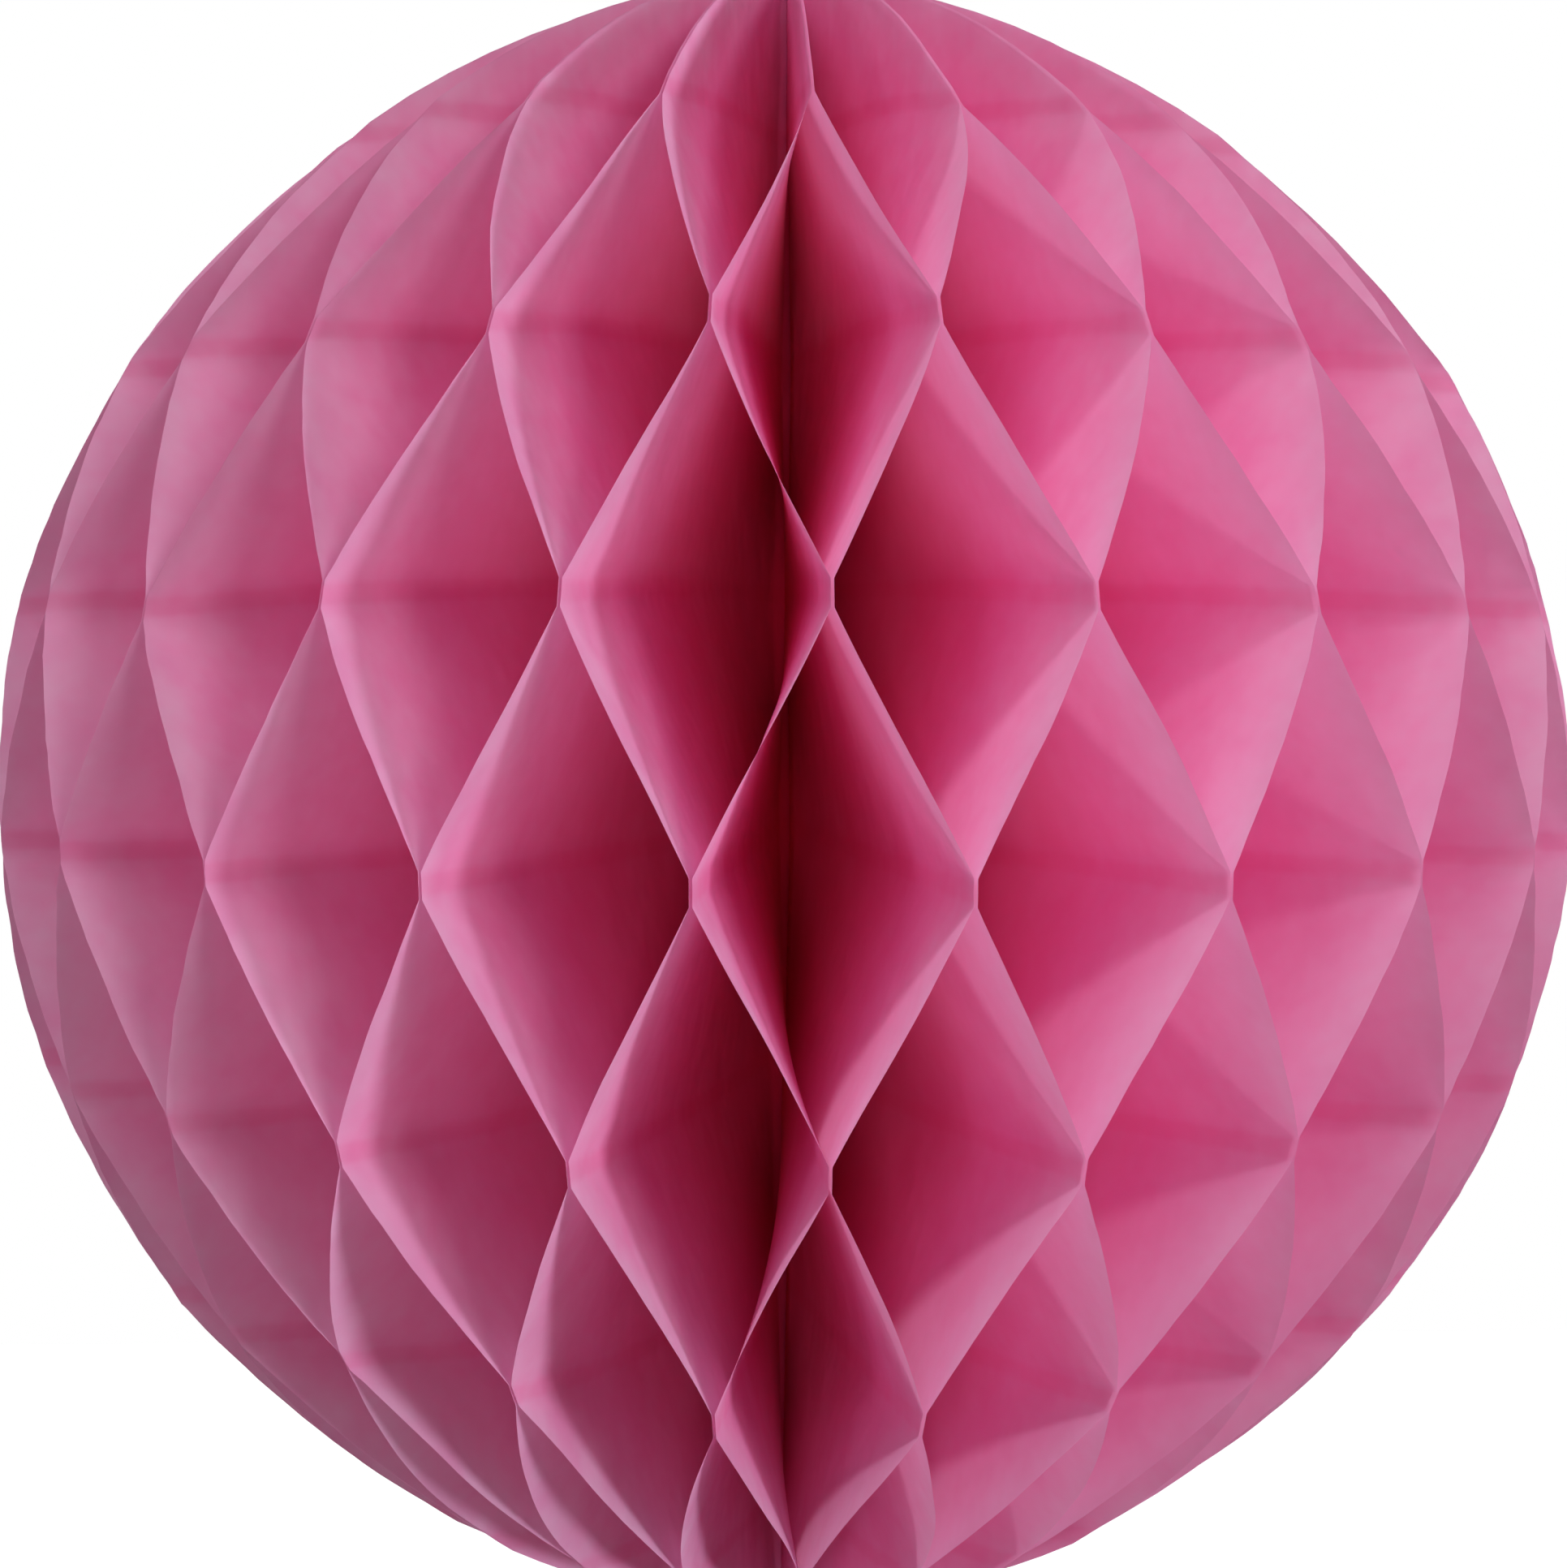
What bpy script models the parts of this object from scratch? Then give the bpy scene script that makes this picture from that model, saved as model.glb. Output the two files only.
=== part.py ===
"""Honeycomb paper ball, opened out.

A pad of half discs is glued along level bands, every band to the next sheet on one side and the band
above it to the next sheet on the other. Fanned right round its straight edge, the pad opens into a
ball of diamond cells. Two stiff half discs of card close the ring at the back.

Metres, +Z up. The origin is the middle of the ball, Z is the spine and the closing seam faces +Y.
The half height of a sheet, the row pitch and the heights called flat are measured before the pad is
opened. Opening it draws the rows towards the equator, most of all out at the free edges, while the
spine keeps its length.
"""

from math import acos, asin, ceil, cos, floor, pi, radians, sin, sqrt

import bmesh
import bpy
from mathutils import Vector

BALL_RADIUS = 0.075
SHEET_HALF_HEIGHT = 0.0823
POLE_DRAW = 0.105
CELLS_ROUND = 24
ROW_PITCH = 0.0228
MIDDLE_ROW_HEIGHT = -0.0028
BAND_HEIGHT = 0.002
LAST_ROW_MARGIN = 0.005

PAPER_THICKNESS = 0.00012
GLUE_THICKNESS = 0.00012
CARD_THICKNESS = 0.0004
CARD_INSET = 0.0008
CARD_SPINE_GAP = 0.001
SPINE_SLACK = 0.0001

# How finely the surfaces are drawn: where a sheet's middle points lie across it, the steps of its free
# edge past the outermost rows, the steps of a card's edge, and the angle above which a fold looks sharp.
MIDDLE_SHARE = 0.55
CAP_POINTS = 3
CARD_EDGE_STEPS = 24
FOLD_ANGLE = radians(15)

PAPER_PINK = (0.72, 0.17, 0.36, 1.0)
PAPER_ROUGHNESS = 0.9
CARD_PINK = (0.66, 0.13, 0.30, 1.0)
CARD_ROUGHNESS = 0.85

SHEETS = 2 * CELLS_ROUND
SHEET_PITCH = PAPER_THICKNESS + GLUE_THICKNESS
SLOT_HALF = CARD_THICKNESS + GLUE_THICKNESS
SPINE_RADIUS = (SHEETS * SHEET_PITCH + 2 * SLOT_HALF) / (2 * pi) + SPINE_SLACK


def clear_scene():
    for thing in list(bpy.data.objects):
        bpy.data.objects.remove(thing, do_unlink=True)


def matte_material(name, colour, roughness):
    material = bpy.data.materials.new(name)
    material.use_nodes = True
    shader = material.node_tree.nodes["Principled BSDF"]
    shader.inputs["Base Color"].default_value = colour
    shader.inputs["Roughness"].default_value = roughness
    shader.inputs["Metallic"].default_value = 0.0
    return material


def glue_rows():
    """The numbers of the glue rows that fit on a sheet, counted up from the middle row."""
    reach = SHEET_HALF_HEIGHT - LAST_ROW_MARGIN
    lowest = ceil((-reach - MIDDLE_ROW_HEIGHT) / ROW_PITCH)
    highest = floor((reach - MIDDLE_ROW_HEIGHT) / ROW_PITCH)
    return range(lowest, highest + 1)


def flat_height(row):
    return MIDDLE_ROW_HEIGHT + row * ROW_PITCH


def edge_radius(height):
    """How far from the spine the free edge of a half disc is, at a flat height."""
    return BALL_RADIUS * sqrt(1 - (height / SHEET_HALF_HEIGHT) ** 2)


def slot_angle(radius):
    """Half the angle that the two cards of the seam take out of the ring."""
    return asin(SLOT_HALF / radius)


def plane_step(radius):
    """The angle from one glue plane to the next."""
    return 2 * (pi - slot_angle(radius)) / SHEETS


def row_rise(radius):
    """How far apart two rows are once the sheet between them leans from one glue plane to the next."""
    lean = radius * plane_step(radius) - SHEET_PITCH
    return BAND_HEIGHT + sqrt((ROW_PITCH - BAND_HEIGHT) ** 2 - lean**2)


def opened_height(height, radius):
    """Where a flat height comes to when the pad opens: the leaning strips and the poles draw it in."""
    draw = POLE_DRAW * (height / SHEET_HALF_HEIGHT) ** 2 * sqrt(radius / BALL_RADIUS)
    return height / ROW_PITCH * row_rise(radius) * (1 - draw)


def row_height(row, radius):
    return opened_height(flat_height(row), radius)


def glue_plane(sheet, row):
    """The plane that a sheet is glued on at a row: its own first one or its second, in turns."""
    return sheet if (sheet + row) % 2 else sheet + 1


def on_plane(sheet, plane, radius, height):
    """A point of a sheet's middle surface beside a glue plane, half a sheet pitch to its own side."""
    angle = pi / 2 + slot_angle(radius) + plane * plane_step(radius)
    side = SHEET_PITCH / 2 if plane == sheet else -SHEET_PITCH / 2
    x = radius * cos(angle) - side * sin(angle)
    y = radius * sin(angle) + side * cos(angle)
    return Vector((x, y, height))


def band_line(bm, sheet, row, end):
    """Three points across a sheet, along the lower (end -1) or upper (end 1) side of a glue band."""
    edge = edge_radius(flat_height(row) + end * BAND_HEIGHT / 2)
    middle = SPINE_RADIUS + MIDDLE_SHARE * (edge - SPINE_RADIUS)
    plane = glue_plane(sheet, row)
    line = []
    for radius in (SPINE_RADIUS, middle, edge):
        height = row_height(row, radius) + end * BAND_HEIGHT / 2
        line.append(bm.verts.new(on_plane(sheet, plane, radius, height)))
    return line


def strip_edge_point(bm, sheet, row):
    """The point of the free edge halfway between a row and the one above it."""
    radius = edge_radius(flat_height(row) + ROW_PITCH / 2)
    height = (row_height(row, radius) + row_height(row + 1, radius)) / 2
    below = on_plane(sheet, glue_plane(sheet, row), radius, height)
    above = on_plane(sheet, glue_plane(sheet, row + 1), radius, height)
    return bm.verts.new((below + above) / 2)


def cap_points(bm, sheet, row, end):
    """The free edge from the outermost row to the pole, and the end of the spine edge."""
    start = asin((flat_height(row) + end * BAND_HEIGHT / 2) / SHEET_HALF_HEIGHT)
    stop = end * (pi / 2 - asin(SPINE_RADIUS / BALL_RADIUS))
    plane = glue_plane(sheet, row)
    points = []
    for i in range(1, CAP_POINTS + 1):
        turn = start + (stop - start) * i / CAP_POINTS
        radius = BALL_RADIUS * cos(turn)
        height = opened_height(SHEET_HALF_HEIGHT * sin(turn), radius)
        points.append(bm.verts.new(on_plane(sheet, plane, radius, height)))
    return points


def sheet_surface(sheet):
    """The middle surface of one opened sheet, as triangles."""
    bm = bmesh.new()
    rows = glue_rows()
    lower = {row: band_line(bm, sheet, row, -1) for row in rows}
    upper = {row: band_line(bm, sheet, row, 1) for row in rows}
    for row in rows:
        for near in (0, 1):
            below, above = lower[row], upper[row]
            bm.faces.new((below[near], below[near + 1], above[near + 1], above[near]))
    walls = []
    for row in rows[:-1]:
        below, above = upper[row], lower[row + 1]
        bm.faces.new((below[0], below[1], above[1], above[0]))
        halfway = strip_edge_point(bm, sheet, row)
        walls.append(bm.faces.new((below[1], below[2], halfway, above[2], above[1])))
    bmesh.ops.poke(bm, faces=walls)
    top_cap = cap_points(bm, sheet, rows[-1], 1)
    bm.faces.new(upper[rows[-1]] + top_cap)
    bottom_cap = cap_points(bm, sheet, rows[0], -1)
    bm.faces.new(list(reversed(lower[rows[0]] + bottom_cap)))
    bmesh.ops.triangulate(bm, faces=bm.faces[:], quad_method="SHORT_EDGE")
    return bm


def card_outline():
    """Radius and height of points round a seam card, a little inside the sheets' free edges."""
    inner = SPINE_RADIUS + CARD_SPINE_GAP
    tip = acos((inner + CARD_INSET) / BALL_RADIUS)
    outline = []
    for i in range(CARD_EDGE_STEPS + 1):
        turn = tip * (2 * i / CARD_EDGE_STEPS - 1)
        radius = BALL_RADIUS * cos(turn)
        height = opened_height(SHEET_HALF_HEIGHT * sin(turn), radius)
        outline.append((radius - CARD_INSET, height * (1 - CARD_INSET / SHEET_HALF_HEIGHT)))
    return outline


def card_surface(side):
    """The middle surface of one seam card, on the side of the seam given as 1 or -1."""
    bm = bmesh.new()
    x = side * (GLUE_THICKNESS + CARD_THICKNESS) / 2
    bm.faces.new([bm.verts.new((x, radius, height)) for radius, height in card_outline()])
    return bm


def add_object(name, bm, material, thickness):
    mesh = bpy.data.meshes.new(name)
    bmesh.ops.recalc_face_normals(bm, faces=bm.faces[:])
    bm.to_mesh(mesh)
    bm.free()
    mesh.shade_smooth()
    mesh.set_sharp_from_angle(angle=FOLD_ANGLE)
    thing = bpy.data.objects.new(name, mesh)
    mesh.materials.append(material)
    bpy.context.scene.collection.objects.link(thing)
    solid = thing.modifiers.new("thickness", "SOLIDIFY")
    solid.thickness = thickness
    solid.offset = 0.0
    return thing


def main():
    clear_scene()
    paper = matte_material("pink_paper", PAPER_PINK, PAPER_ROUGHNESS)
    card = matte_material("pink_card", CARD_PINK, CARD_ROUGHNESS)
    ball = bpy.data.objects.new("honeycomb_ball", None)
    bpy.context.scene.collection.objects.link(ball)
    for sheet in range(SHEETS):
        name = f"sheet_{sheet + 1:02d}"
        add_object(name, sheet_surface(sheet), paper, PAPER_THICKNESS).parent = ball
    for name, side in (("seam_card_left", -1), ("seam_card_right", 1)):
        add_object(name, card_surface(side), card, CARD_THICKNESS).parent = ball


main()
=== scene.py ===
"""Looks of the honeycomb paper ball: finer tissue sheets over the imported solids, with light and camera.

Metres, +Z up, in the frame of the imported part: the spine is Z and the closing seam faces +Y.
"""

from math import cos, degrees, pi, radians, sin, sqrt

import bpy
from mathutils import Matrix, Vector


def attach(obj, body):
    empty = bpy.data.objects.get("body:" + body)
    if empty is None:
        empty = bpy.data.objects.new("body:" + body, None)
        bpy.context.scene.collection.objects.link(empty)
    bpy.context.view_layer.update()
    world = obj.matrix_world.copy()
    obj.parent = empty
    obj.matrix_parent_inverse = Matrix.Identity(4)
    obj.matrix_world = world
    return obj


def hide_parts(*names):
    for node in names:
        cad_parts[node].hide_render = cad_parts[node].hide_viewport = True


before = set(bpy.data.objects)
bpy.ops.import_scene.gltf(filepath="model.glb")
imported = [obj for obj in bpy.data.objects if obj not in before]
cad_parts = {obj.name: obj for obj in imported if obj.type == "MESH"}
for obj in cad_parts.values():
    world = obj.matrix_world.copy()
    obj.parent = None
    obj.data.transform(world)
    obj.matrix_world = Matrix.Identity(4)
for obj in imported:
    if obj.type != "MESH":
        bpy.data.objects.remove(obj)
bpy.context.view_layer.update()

# The ball's sizes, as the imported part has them.
BALL_RADIUS = 0.075
SHEET_HALF_HEIGHT = 0.0823
POLE_DRAW = 0.105
SHEETS = 48
CELLS_ROUND = SHEETS // 2
ROW_PITCH = 0.0228
MIDDLE_ROW_HEIGHT = -0.0028
BAND_HEIGHT = 0.002
FIRST_ROW = -3
LAST_ROW = 3
PAPER_THICKNESS = 0.00012
GLUE_THICKNESS = 0.00012
CARD_THICKNESS = 0.0004
SHEET_PITCH = PAPER_THICKNESS + GLUE_THICKNESS
SLOT_HALF = CARD_THICKNESS + GLUE_THICKNESS

# The tissue reaches further in than its solids do, so that no light comes through the spine.
INNER_RADIUS = 0.0012

# How finely a sheet is drawn.
STEPS_ACROSS = 14
STEPS_PER_BAND = 2
STEPS_PER_STRIP = 16
STEPS_PER_CAP = 10

# An even number that keeps row numbers above zero, what is added before a step is rounded down, and how
# close two points are welded.
EVEN_SHIFT = 100
ROUNDING_GUARD = 0.001
WELD_DISTANCE = 1e-6


class Wire:
    """An output socket that sums can be written with. Each operator adds its Math node."""

    def __init__(self, graph, socket):
        self.graph = graph
        self.socket = socket

    def other(self, name):
        """Another output of the same node."""
        return Wire(self.graph, self.socket.node.outputs[name])

    def __add__(self, other):
        return self.graph.maths("ADD", self, other)

    def __radd__(self, other):
        return self.graph.maths("ADD", other, self)

    def __sub__(self, other):
        return self.graph.maths("SUBTRACT", self, other)

    def __rsub__(self, other):
        return self.graph.maths("SUBTRACT", other, self)

    def __mul__(self, other):
        return self.graph.maths("MULTIPLY", self, other)

    def __rmul__(self, other):
        return self.graph.maths("MULTIPLY", other, self)

    def __truediv__(self, other):
        return self.graph.maths("DIVIDE", self, other)

    def __rtruediv__(self, other):
        return self.graph.maths("DIVIDE", other, self)


class Graph:
    """A node tree, of a material or of Geometry Nodes, with one way to add a node."""

    def __init__(self, tree):
        self.tree = tree

    def add(self, kind, settings=None, inputs=None, output=0):
        """Adds a node, sets its settings first and then its sockets, and gives one of its outputs."""
        node = self.tree.nodes.new(kind)
        for name, value in (settings or {}).items():
            if name == "stops":
                self.set_stops(node.color_ramp, value)
            else:
                setattr(node, name, value)
        self.feed(node, inputs or {})
        return Wire(self, node.outputs[output]) if node.outputs else None

    def feed(self, node, inputs):
        """Links a node's sockets to wires, and sets them to plain values."""
        for name, value in inputs.items():
            if isinstance(value, Wire):
                self.tree.links.new(value.socket, node.inputs[name])
            else:
                node.inputs[name].default_value = value

    def set_stops(self, ramp, stops):
        while len(ramp.elements) < len(stops):
            ramp.elements.new(0.5)
        for element, (position, colour) in zip(ramp.elements, stops):
            element.position = position
            element.color = colour

    def maths(self, operation, *values, clamp=False):
        settings = {"operation": operation, "use_clamp": clamp}
        return self.add("ShaderNodeMath", settings, dict(enumerate(values)))

    def mix(self, share, first, second):
        """A number between two others."""
        return first + share * (second - first)

    def swing(self, noise):
        """A noise turned from the range 0 to 1 into the range -1 to 1."""
        return noise * 2 - 1

    def smooth(self, share):
        """A share from 0 to 1 that starts and ends gently."""
        return share * share * (3 - 2 * share)

    def vector(self, operation, *values, output=0):
        return self.add("ShaderNodeVectorMath", {"operation": operation}, dict(enumerate(values)), output)

    def scaled(self, vector, scale):
        return self.add("ShaderNodeVectorMath", {"operation": "SCALE"}, {0: vector, "Scale": scale})

    def point(self, x, y, z):
        return self.add("ShaderNodeCombineXYZ", None, {0: x, 1: y, 2: z})

    def noise(self, vector, scale, detail, roughness, extra=None, output="Fac"):
        """A noise over a place, and over one number more where extra is given."""
        inputs = {"Vector": vector, "Scale": scale, "Detail": detail, "Roughness": roughness}
        settings = {"noise_dimensions": "3D"}
        if extra is not None:
            settings["noise_dimensions"] = "4D"
            inputs["W"] = extra
        return self.add("ShaderNodeTexNoise", settings, inputs, output)

    def mix_colour(self, share, first, second, blend="MIX"):
        """A colour between two others. The colour sockets of a Mix node go by their numbers."""
        settings = {"data_type": "RGBA", "blend_type": blend}
        return self.add("ShaderNodeMix", settings, {0: share, 6: first, 7: second}, output=2)


# The inputs of the tree that draws a sheet. A fineness is the scale of a noise.
SHEET_SIZES = {
    "Sheet": 0,
    "Sheets": SHEETS,
    "Ball radius": BALL_RADIUS,
    "Sheet half height": SHEET_HALF_HEIGHT,
    "Pole draw": POLE_DRAW,
    "Row pitch": ROW_PITCH,
    "Band height": BAND_HEIGHT,
    "First row": FIRST_ROW,
    "First row height": MIDDLE_ROW_HEIGHT + FIRST_ROW * ROW_PITCH,
    "Rows": LAST_ROW - FIRST_ROW + 1,
    "Sheet pitch": SHEET_PITCH,
    "Slot half": SLOT_HALF,
    "Inner radius": INNER_RADIUS,
    # The inner ends are twisted round the spine by this angle, less and less over this distance out.
    "Spine twist": radians(60),
    "Spine twist reach": 0.0016,
    # The steps across are crowded towards the spine by this power, so that they can follow the twist.
    "Crowding": 1.6,
    "Steps across": STEPS_ACROSS,
    "Steps per band": STEPS_PER_BAND,
    "Steps per strip": STEPS_PER_STRIP,
    "Steps per cap": STEPS_PER_CAP,
    "Fold softness": 0.06,
    "Ripple": 0.0005,
    "Ripple fineness": 45.0,
    "Edge roughness": 0.00028,
    "Edge fineness": 240.0,
    # Nearer to the poles than this, where the sheet is narrow, the cut edge grows smooth.
    "Edge fade": 0.01,
    "Warp": 0.0003,
    "Warp fineness": 14.0,
    "Dent reach": 0.011,
    "Seed": 7.0,
    "Seed step": 7.31,
    "Ripple seed": 3.7,
}

# Where the ball is a little out of true: cells round from the front, glue row, and how far the paper is
# pushed there, to the right and up.
DENTS = {
    "crown_right": (1.0, 3, 0.0, -0.0015),
    "crown_left": (-1.0, 3, -0.0002, -0.0007),
    "shoulder_left": (-1.5, 2, 0.0, -0.0006),
    "shoulder_right": (2.5, 2, -0.0012, 0.0001),
    "shoulder_far_left": (-3.0, 1, -0.0005, -0.0009),
    "waist_far_left": (-3.5, 0, -0.0009, 0.0004),
    "skirt_far_left": (-2.5, -2, -0.0007, 0.0013),
    "skirt_left": (-1.5, -2, 0.0, 0.0009),
    "skirt_middle": (0.0, -2, -0.0001, -0.0008),
}


def tree_inputs(graph):
    """The tree's named inputs, one for each size and one for the paper."""
    for name in SHEET_SIZES:
        graph.tree.interface.new_socket(name, in_out="INPUT", socket_type="NodeSocketFloat")
    graph.tree.interface.new_socket("Paper", in_out="INPUT", socket_type="NodeSocketMaterial")
    entry = graph.add("NodeGroupInput")
    return {name: entry.other(name) for name in [*SHEET_SIZES, "Paper"]}


def grid_steps(size):
    """The grid's steps from one row to the next, from the lowest band to the highest, and in all."""
    row_steps = size["Steps per band"] + size["Steps per strip"]
    middle_steps = size["Rows"] * row_steps - size["Steps per strip"]
    return row_steps, middle_steps, middle_steps + 2 * size["Steps per cap"]


def flat_grid(graph, size, all_steps):
    """The grid itself, each point's share of the way from the spine to the free edge, and its step up."""
    sides = {"Size X": 1.0, "Size Y": 1.0}
    counts = {"Vertices X": size["Steps across"] + 1, "Vertices Y": all_steps + 1}
    grid = graph.add("GeometryNodeMeshGrid", None, {**sides, **counts})
    x = graph.add("ShaderNodeSeparateXYZ", None, {0: graph.add("GeometryNodeInputPosition")})
    across = graph.maths("POWER", x + 0.5, size["Crowding"])
    step = graph.maths("ROUND", (x.other("Y") + 0.5) * all_steps)
    return grid, across, step


def row_place(graph, size, step, row_steps, middle_steps):
    """How many rows up a point is, and its shares of the way up that row's band and the strip above."""
    inner_step = graph.maths("MAXIMUM", step - size["Steps per cap"], 0.0)
    inner_step = graph.maths("MINIMUM", inner_step, middle_steps)
    row = graph.maths("FLOOR", inner_step / row_steps + ROUNDING_GUARD)
    rest = inner_step - row * row_steps
    band_share = graph.maths("MINIMUM", rest / size["Steps per band"], 1.0)
    strip_share = graph.maths("MAXIMUM", (rest - size["Steps per band"]) / size["Steps per strip"], 0.0)
    return row, band_share, strip_share


def cap_reach(graph, size, step, middle_steps):
    """How far below the lowest band and above the highest a point is on the flat sheet.

    The caps there are stepped by angle, so that they close at the poles.
    """
    half_height = size["Sheet half height"]
    cap_steps = size["Steps per cap"]
    lowest = size["First row height"] - size["Band height"] / 2
    highest = lowest + (size["Rows"] - 1) * size["Row pitch"] + size["Band height"]
    pole_turn = graph.maths("ARCCOSINE", size["Inner radius"] / size["Ball radius"])
    low_share = graph.maths("MAXIMUM", 1 - step / cap_steps, 0.0)
    high_share = graph.maths("MAXIMUM", (step - cap_steps - middle_steps) / cap_steps, 0.0)
    low_turn = graph.mix(low_share, graph.maths("ARCSINE", lowest / half_height), -1 * pole_turn)
    high_turn = graph.mix(high_share, graph.maths("ARCSINE", highest / half_height), pole_turn)
    below = half_height * graph.maths("SINE", low_turn) - lowest
    above = half_height * graph.maths("SINE", high_turn) - highest
    return below, above


def free_edge(graph, size, flat):
    """How far from the spine the free edge is, at a flat height."""
    share = flat / size["Sheet half height"]
    return size["Ball radius"] * graph.maths("SQRT", graph.maths("MAXIMUM", 1 - share * share, 0.0))


def spine_distance(graph, size, edge, across, flat, own_seed):
    """How far from the spine a point is, with the cut edge a little rough."""
    edge_noise = graph.noise(graph.point(0.0, 0.0, flat), size["Edge fineness"], 2.0, 0.6, own_seed)
    inside = graph.maths("MAXIMUM", edge - size["Inner radius"], 0.0)
    calm = graph.maths("MINIMUM", inside / size["Edge fade"], 1.0)
    roughness = size["Edge roughness"] * graph.swing(edge_noise) * across * calm
    return size["Inner radius"] + across * inside + roughness


def fan_angles(graph, size, radius):
    """Half the angle that the seam's cards take, and the angle from one glue plane to the next."""
    slot = graph.maths("ARCSINE", size["Slot half"] / radius)
    return slot, 2 * (pi - slot) / size["Sheets"]


def opened_height(graph, size, radius, turn_step, row_flat, band_share, strip_share, past_bands):
    """A point's height once the pad is open: the leaning strips and the poles draw the rows in."""
    strip_height = size["Row pitch"] - size["Band height"]
    lean = radius * turn_step - size["Sheet pitch"]
    rise = size["Band height"] + graph.maths("SQRT", strip_height * strip_height - lean * lean)
    draw = size["Pole draw"] * graph.maths("SQRT", radius / size["Ball radius"])

    def opened(height):
        share = height / size["Sheet half height"]
        return height / size["Row pitch"] * rise * (1 - draw * share * share)

    lower = opened(row_flat)
    upper = opened(row_flat + size["Row pitch"])
    height = lower + (band_share - 0.5) * size["Band height"]
    height = height + strip_share * (upper - lower - size["Band height"])
    flat, inner_flat = past_bands
    return height + opened(flat) - opened(inner_flat)


def ripple(graph, size, radius, flat, across, strip_share, own_seed):
    """How far a point is off its smooth place: a slight ripple in the strips, none at the bands."""
    seed = own_seed + size["Ripple seed"]
    noise = graph.noise(graph.point(radius, 0.0, flat), size["Ripple fineness"], 1.0, 0.5, seed)
    swell = graph.maths("SINE", strip_share * pi)
    return size["Ripple"] * graph.swing(noise) * swell * swell * across


def beside_plane(graph, radius, angle, offset):
    """X and Y at a distance from the spine, beside the glue plane at an angle."""
    out = graph.maths("COSINE", angle)
    along = graph.maths("SINE", angle)
    return radius * out - offset * along, radius * along + offset * out


def edge_radius(height):
    """How far from the spine the free edge of a half disc is, at a flat height."""
    return BALL_RADIUS * sqrt(1 - (height / SHEET_HALF_HEIGHT) ** 2)


def out_of_true(graph, size, here):
    """Where the faint wander and the dents of the whole ball push a point, neighbours together."""
    wander = graph.noise(here, size["Warp fineness"], 0.0, 0.5, size["Seed"], "Color")
    wander = graph.vector("SUBTRACT", wander, (0.5, 0.5, 0.5))
    pushed = graph.vector("ADD", here, graph.scaled(wander, size["Warp"] * 2))
    for cells, row, right, up in DENTS.values():
        turn = 2 * pi * cells / CELLS_ROUND
        flat_row = MIDDLE_ROW_HEIGHT + row * ROW_PITCH
        out = edge_radius(flat_row)
        middle = (out * sin(turn), -out * cos(turn), flat_row)
        away = graph.vector("DISTANCE", here, middle, output=1) / size["Dent reach"]
        share = graph.maths("EXPONENT", -1 * away * away)
        push = (right * cos(turn), right * sin(turn), up)
        pushed = graph.vector("ADD", pushed, graph.scaled(push, share))
    return pushed


def keep(graph, geometry, name, value):
    """Stores a number at each point, for the material."""
    settings = {"data_type": "FLOAT", "domain": "POINT"}
    inputs = {"Geometry": geometry, "Name": name, "Value": value}
    return graph.add("GeometryNodeStoreNamedAttribute", settings, inputs)


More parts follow.
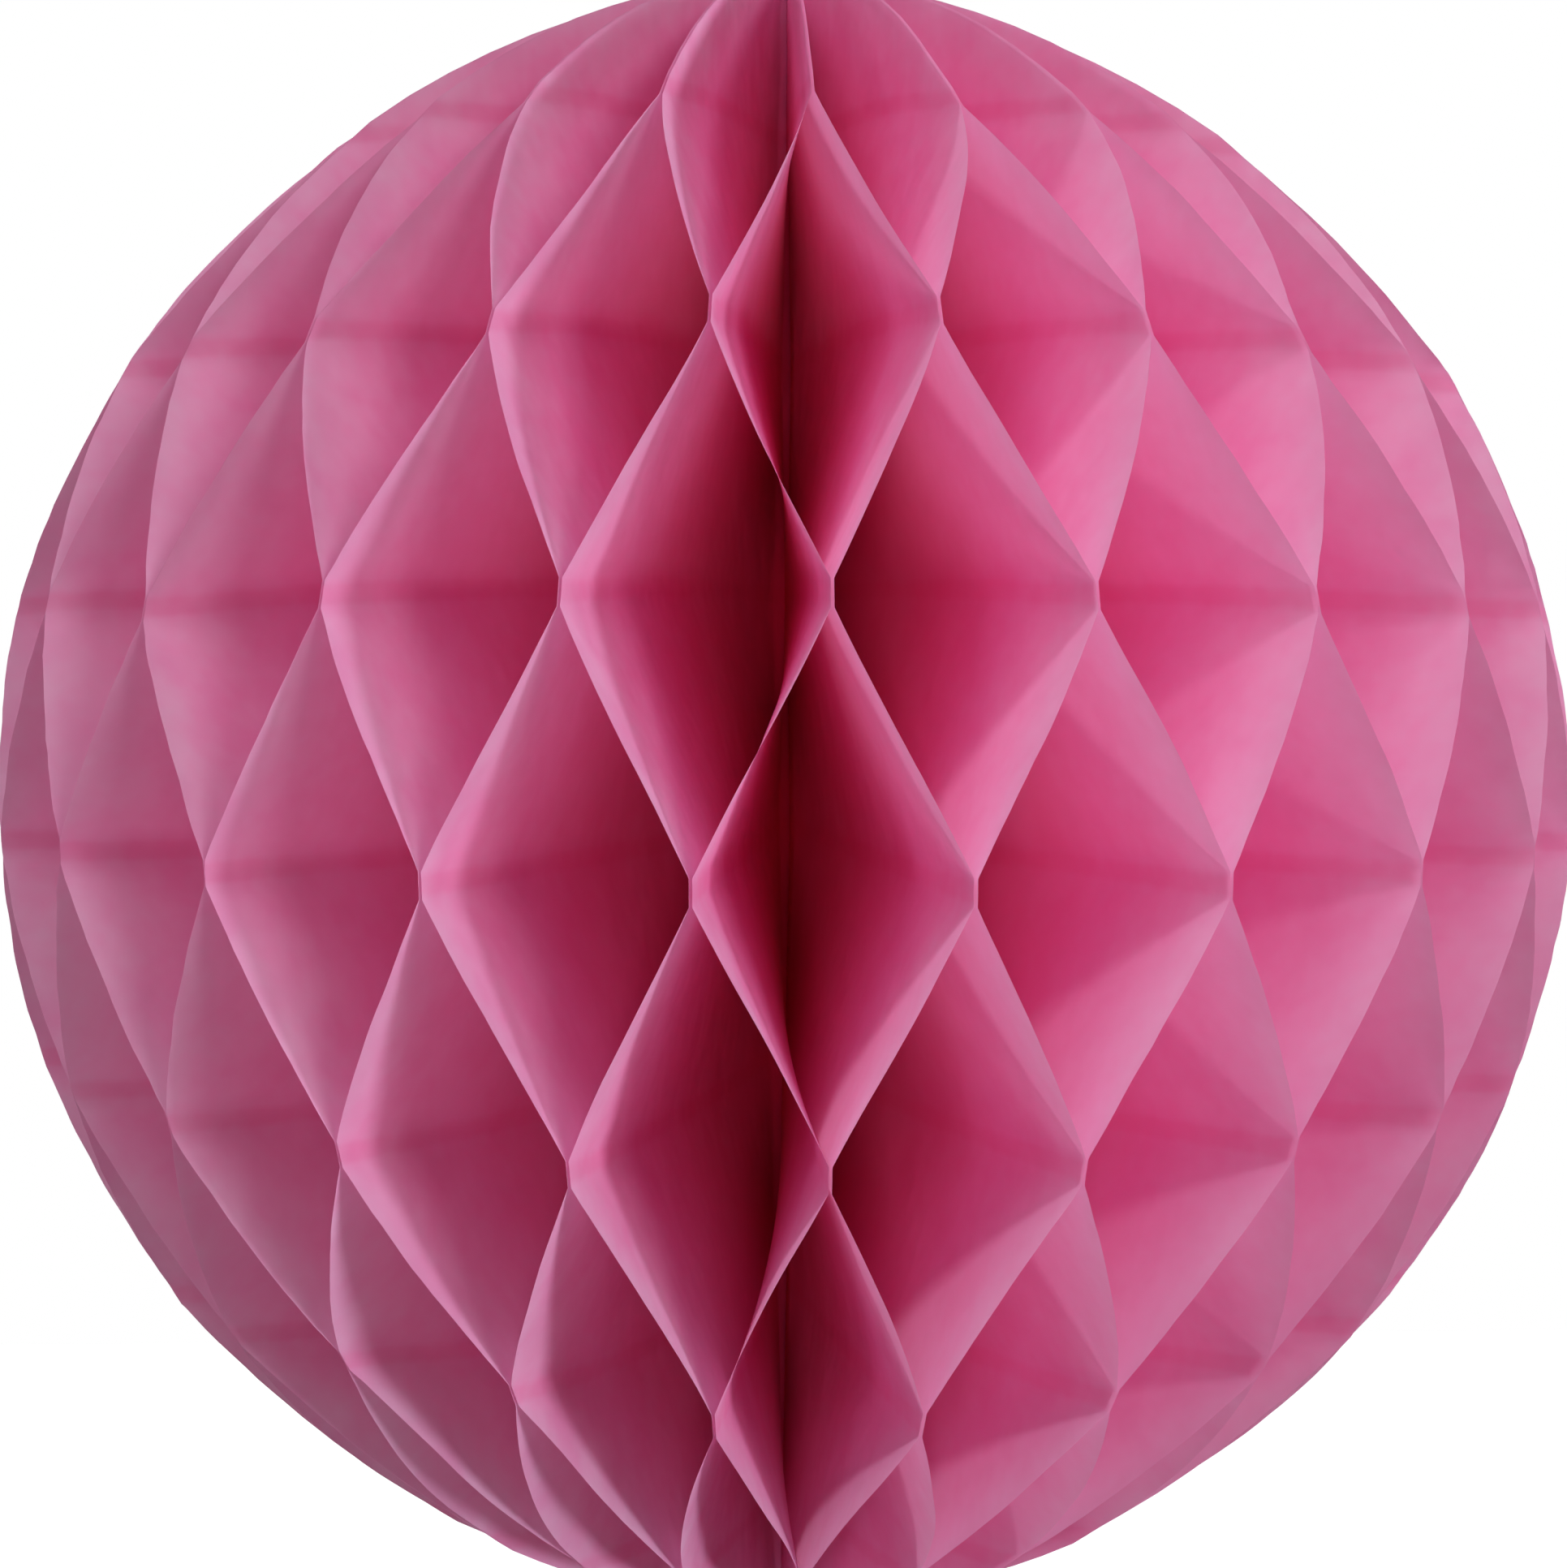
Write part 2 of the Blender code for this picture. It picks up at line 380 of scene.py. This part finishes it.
def sheet_tree():
    """Geometry Nodes that draw the middle surface of one opened sheet from the sizes above."""
    tree = bpy.data.node_groups.new("opened_tissue_sheet", "GeometryNodeTree")
    tree.interface.new_socket("Sheet surface", in_out="OUTPUT", socket_type="NodeSocketGeometry")
    graph = Graph(tree)
    size = tree_inputs(graph)
    own_seed = size["Sheet"] * size["Seed step"] + size["Seed"]

    # Where a point is on the flat sheet.
    row_steps, middle_steps, all_steps = grid_steps(size)
    grid, across, step = flat_grid(graph, size, all_steps)
    row, band_share, strip_share = row_place(graph, size, step, row_steps, middle_steps)
    row_flat = size["First row height"] + row * size["Row pitch"]
    strip_height = size["Row pitch"] - size["Band height"]
    inner_flat = row_flat + (band_share - 0.5) * size["Band height"] + strip_share * strip_height
    below, above = cap_reach(graph, size, step, middle_steps)
    flat = inner_flat + below + above

    # How far from the spine it is, and how high on the opened sheet.
    edge = free_edge(graph, size, flat)
    radius = spine_distance(graph, size, edge, across, flat, own_seed)
    slot, turn_step = fan_angles(graph, size, radius)
    past_bands = (flat, inner_flat)
    height = opened_height(graph, size, radius, turn_step, row_flat, band_share, strip_share, past_bands)

    # Which of its two glue planes it is on, from 0 to 1, with soft folds.
    start = 1 - graph.maths("MODULO", size["Sheet"] + size["First row"] + EVEN_SHIFT + row, 2.0)
    turned = graph.mix(size["Fold softness"], strip_share, graph.smooth(strip_share))
    plane_share = start + (1 - 2 * start) * turned

    # The sheets' inner ends are twisted round the spine, so that nobody can look through between them.
    untwisted = (radius - size["Inner radius"]) / size["Spine twist reach"]
    twist = size["Spine twist"] * (1 - graph.maths("MINIMUM", untwisted, 1.0))
    seam = pi / 2 + slot + twist
    off = ripple(graph, size, radius, flat, across, strip_share, own_seed)
    half_pitch = size["Sheet pitch"] / 2
    first_plane = seam + size["Sheet"] * turn_step
    first_x, first_y = beside_plane(graph, radius, first_plane, half_pitch + off)
    second_plane = seam + (size["Sheet"] + 1) * turn_step
    second_x, second_y = beside_plane(graph, radius, second_plane, off - half_pitch)
    x = graph.mix(plane_share, first_x, second_x)
    y = graph.mix(plane_share, first_y, second_y)
    pushed = out_of_true(graph, size, graph.point(x, y, height))

    measured = keep(graph, grid, "edge_distance", edge - radius)
    measured = keep(graph, measured, "band_distance", graph.maths("ABSOLUTE", band_share - 0.5))
    placed = graph.add("GeometryNodeSetPosition", None, {"Geometry": measured, "Position": pushed})
    merged = graph.add("GeometryNodeMergeByDistance", None, {"Geometry": placed, "Distance": WELD_DISTANCE})
    smooth = graph.add("GeometryNodeSetShadeSmooth", None, {"Geometry": merged})
    real = graph.add("GeometryNodeRealizeInstances", None, {"Geometry": smooth})
    dressed = graph.add("GeometryNodeSetMaterial", None, {"Geometry": real, "Material": size["Paper"]})
    graph.add("NodeGroupOutput", None, {"Sheet surface": dressed})
    return tree


def tissue_sheet(tree, paper, number):
    """One sheet, drawn by the tree and made a plain mesh."""
    name = f"tissue_{number + 1:02d}"
    thing = bpy.data.objects.new(name, bpy.data.meshes.new(name))
    bpy.context.scene.collection.objects.link(thing)
    shape = thing.modifiers.new("opened sheet", "NODES")
    shape.node_group = tree
    sockets = {s.name: s.identifier for s in tree.interface.items_tree if s.in_out == "INPUT"}
    for size, value in SHEET_SIZES.items():
        shape[sockets[size]] = float(value)
    shape[sockets["Sheet"]] = float(number)
    shape[sockets["Paper"]] = paper
    evaluated = thing.evaluated_get(bpy.context.evaluated_depsgraph_get())
    mesh = bpy.data.meshes.new_from_object(evaluated)
    thing.modifiers.clear()
    thing.data = mesh
    mesh.name = name
    return thing


# The tissue's pink at depths in from its free edge, in metres, with light and shade painted in. The rim is
# painted pale, as if lit, and the depths of the cells deep red, for the glow of light passed through many
# sheets.
PAINTED_LIGHT_PINKS_BY_DEPTH = {
    0.0: (0.94, 0.57, 0.83),
    0.008: (0.94, 0.41, 0.71),
    0.015: (0.97, 0.34, 0.69),
    0.030: (1.0, 0.20, 0.52),
    0.050: (1.0, 0.08, 0.28),
    0.075: (1.0, 0.01, 0.09),
}
TISSUE_ROUGHNESS = 0.85
TISSUE_SHINE = 0.15

# How much of the light goes through the tissue, and the pink that it takes on the way.
PASSED_SHARE = 0.38
PASSED_PINK = (1.0, 0.44, 0.70, 1.0)

# The dye is cloudy and the paper fibrous, and the glued bands are painted redder, a painted shade along the
# folds there.
CLOUD_TINT = (0.98, 0.74, 0.86, 1.0)
CLOUD_CONTRAST = 3.5
CLOUD_FINENESS = 110.0
FIBRE_TINT = (1.0, 0.93, 0.95, 1.0)
FIBRE_FINENESS = 1100.0
BAND_SHADE_TINT = (0.98, 0.83, 0.89, 1.0)
BAND_SHADE_STRENGTH = 8
CREASE_FINENESS = 160.0
CREASE_HEIGHT = 0.0006
CREASE_STRENGTH = 0.45

CARD_PINK = (0.66, 0.13, 0.30, 1.0)
CARD_FIBRE_PINK = (0.72, 0.18, 0.36, 1.0)
CARD_FIBRE_FINENESS = 700.0
CARD_ROUGHNESS = 0.85


def new_material(name, roughness, shine):
    """A material, its graph and its Principled shader's node."""
    material = bpy.data.materials.new(name)
    material.use_nodes = True
    graph = Graph(material.node_tree)
    shader = material.node_tree.nodes["Principled BSDF"]
    graph.feed(shader, {"Roughness": roughness, "Specular IOR Level": shine})
    return material, graph, shader


def tissue_pink(graph, place):
    """The tissue's colour: painted light and shade over the depth, with clouds and fibres in it, and painted
    shade at the glued bands.
    """
    depth = graph.add("ShaderNodeAttribute", {"attribute_name": "edge_distance"}, output="Fac")
    band = graph.add("ShaderNodeAttribute", {"attribute_name": "band_distance"}, output="Fac")
    # Painted light and shade: pale at the rim as if lit, deep red in the depths of the cells.
    stops = [(at / BALL_RADIUS, (*pink, 1.0)) for at, pink in PAINTED_LIGHT_PINKS_BY_DEPTH.items()]
    pink = graph.add("ShaderNodeValToRGB", {"stops": stops}, {0: depth / BALL_RADIUS})
    clouds = graph.noise(place, CLOUD_FINENESS, detail=3.0, roughness=0.75)
    clouded = graph.maths("ADD", graph.swing(clouds) * (CLOUD_CONTRAST / 2), 0.5, clamp=True)
    pink = graph.mix_colour(clouded, pink, CLOUD_TINT, "MULTIPLY")
    fibres = graph.noise(place, FIBRE_FINENESS, detail=2.0, roughness=0.7)
    pink = graph.mix_colour(fibres, pink, FIBRE_TINT, "MULTIPLY")
    # Painted shade: the glued bands are tinted redder and darker, where the steep folds lie in shade.
    band_shade = graph.maths("MULTIPLY", (0.5 - band) * BAND_SHADE_STRENGTH, clouds, clamp=True)
    return graph.mix_colour(band_shade, pink, BAND_SHADE_TINT, "MULTIPLY")


def tissue_material():
    """Creased tissue that sends part of the light back and lets the rest through."""
    material, graph, shader = new_material("pink_tissue", TISSUE_ROUGHNESS, TISSUE_SHINE)
    place = graph.add("ShaderNodeTexCoord", output="Object")
    creases = graph.noise(place, CREASE_FINENESS, detail=2.0, roughness=0.6)
    relief = {"Strength": CREASE_STRENGTH, "Distance": CREASE_HEIGHT, "Height": creases}
    bump = graph.add("ShaderNodeBump", None, relief)
    graph.feed(shader, {"Base Color": tissue_pink(graph, place), "Normal": bump})
    sent_back = Wire(graph, shader.outputs["BSDF"])
    passed = graph.add("ShaderNodeBsdfTranslucent", None, {"Color": PASSED_PINK, "Normal": bump})
    tissue = graph.add("ShaderNodeMixShader", None, {0: PASSED_SHARE, 1: sent_back, 2: passed})
    graph.feed(graph.tree.nodes["Material Output"], {"Surface": tissue})
    return material


def card_material():
    """Plain card with fine fibres."""
    material, graph, shader = new_material("pink_card_face", CARD_ROUGHNESS, TISSUE_SHINE)
    place = graph.add("ShaderNodeTexCoord", output="Object")
    fibres = graph.noise(place, CARD_FIBRE_FINENESS, detail=3.0, roughness=0.6)
    graph.feed(shader, {"Base Color": graph.mix_colour(fibres, CARD_PINK, CARD_FIBRE_PINK)})
    return material


# The photo's camera, in metres and radians, with its focal length in the photo's pixels. The azimuth is
# counted from the front to the right.
PICTURE_WIDTH = 1931
FOCAL_PIXELS = 2809.8
CAMERA_DISTANCE = 0.22922
CAMERA_HEIGHT = 0.01258
CAMERA_AZIMUTH = -0.0463
CAMERA_PITCH = -0.0496
CAMERA_ROLL = 0.004
SENSOR_MILLIMETRES = 36.0
NEAREST_SEEN = 0.01


def photo_camera():
    data = bpy.data.cameras.new("photo_camera")
    data.sensor_width = SENSOR_MILLIMETRES
    data.lens = FOCAL_PIXELS / PICTURE_WIDTH * SENSOR_MILLIMETRES
    data.clip_start = NEAREST_SEEN
    camera = bpy.data.objects.new("photo_camera", data)
    bpy.context.scene.collection.objects.link(camera)
    out = Vector((sin(CAMERA_AZIMUTH), -cos(CAMERA_AZIMUTH), 0.0))
    ahead = Vector((-out.x * cos(CAMERA_PITCH), -out.y * cos(CAMERA_PITCH), sin(CAMERA_PITCH)))
    right = ahead.cross(Vector((0, 0, 1))).normalized()
    up = right.cross(ahead)
    turned_right = right * cos(CAMERA_ROLL) + up * sin(CAMERA_ROLL)
    turned_up = up * cos(CAMERA_ROLL) - right * sin(CAMERA_ROLL)
    turn = Matrix((turned_right, turned_up, -ahead)).transposed().to_4x4()
    camera.matrix_world = Matrix.Translation(out * CAMERA_DISTANCE + Vector((0, 0, CAMERA_HEIGHT))) @ turn
    bpy.context.scene.camera = camera


# Each lamp: azimuth from the camera's side, elevation, strength, spread and colour. The angles are degrees.
LAMPS = {
    "window": (60, -8, 1.35, 9, (0.92, 0.96, 1.0)),
    "side": (88, 0, 0.6, 40, (0.95, 0.97, 1.0)),
    "sky": (-20, 67, 1.25, 45, (1.0, 1.0, 0.98)),
    "key": (41, 24, 0.9, 20, (1.0, 0.95, 0.93)),
    "left": (-45, 40, 0.25, 30, (1.0, 0.94, 0.85)),
    "front": (-1, 0, 0.85, 10, (1.0, 0.84, 0.84)),
}
# Light goes on through sheet after sheet, which gives the cells part of their deep red; the rest is painted
# in.
MOST_BOUNCES = 7

# A table top under the hanging ball, small enough that the low side lights come in past its edge.
FLOOR_HALF = 1.5
FLOOR_HEIGHT = -0.5
FLOOR_COLOUR = (0.3, 0.3, 0.3, 1.0)
FLOOR_ROUGHNESS = 0.9
WHITE = (1.0, 1.0, 1.0, 1.0)


def towards(azimuth, elevation):
    """A direction from the ball, with azimuth 0 at the front and counted to the right, in degrees."""
    level = cos(radians(elevation))
    return Vector((sin(radians(azimuth)) * level, -cos(radians(azimuth)) * level, sin(radians(elevation))))


def sun(name, azimuth, elevation, strength, spread, colour):
    data = bpy.data.lights.new(name, "SUN")
    data.energy = strength
    data.angle = radians(spread)
    data.color = colour
    data.cycles.use_multiple_importance_sampling = False
    lamp = bpy.data.objects.new(name, data)
    bpy.context.scene.collection.objects.link(lamp)
    lamp.rotation_euler = towards(azimuth, elevation).to_track_quat("Z", "Y").to_euler()


def studio():
    """A world that shows white to the camera and gives no light, and the lamps."""
    world = bpy.data.worlds.new("studio")
    bpy.context.scene.world = world
    world.use_nodes = True
    world.cycles.sampling_method = "NONE"
    graph = Graph(world.node_tree)
    seen = graph.add("ShaderNodeLightPath", output="Is Camera Ray")
    graph.feed(world.node_tree.nodes["Background"], {"Color": WHITE, "Strength": seen})
    turn = degrees(CAMERA_AZIMUTH)
    for name, (azimuth, elevation, strength, spread, colour) in LAMPS.items():
        sun(name, azimuth + turn, elevation, strength, spread, colour)


def floor():
    """A pale floor well below the ball, which shows white to the camera, as the photo's background does."""
    mesh = bpy.data.meshes.new("floor")
    half, height = FLOOR_HALF, FLOOR_HEIGHT
    corners = [(-half, -half, height), (half, -half, height), (half, half, height), (-half, half, height)]
    mesh.from_pydata(corners, [], [(0, 1, 2, 3)])
    thing = bpy.data.objects.new("floor", mesh)
    bpy.context.scene.collection.objects.link(thing)
    material, graph, shader = new_material("pale_floor", FLOOR_ROUGHNESS, 0.0)
    seen = graph.add("ShaderNodeLightPath", output="Is Camera Ray")
    graph.feed(shader, {"Base Color": FLOOR_COLOUR, "Emission Color": WHITE, "Emission Strength": seen})
    mesh.materials.append(material)


def light_paths():
    """How far light is followed, and how its sources are picked."""
    scene = bpy.context.scene
    scene.view_settings.view_transform = "Standard"
    scene.cycles.max_bounces = MOST_BOUNCES
    scene.cycles.diffuse_bounces = MOST_BOUNCES
    scene.cycles.transmission_bounces = MOST_BOUNCES
    scene.cycles.use_light_tree = False
    scene.cycles.caustics_reflective = False


paper = tissue_material()
sheet_graph = sheet_tree()
for number in range(SHEETS):
    piece = tissue_sheet(sheet_graph, paper, number)
    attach(piece, "root")
    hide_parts(f"sheet_{number + 1:02d}")
card = card_material()
for name in ("seam_card_left", "seam_card_right"):
    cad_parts[name].data.materials.clear()
    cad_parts[name].data.materials.append(card)

photo_camera()
studio()
floor()
light_paths()
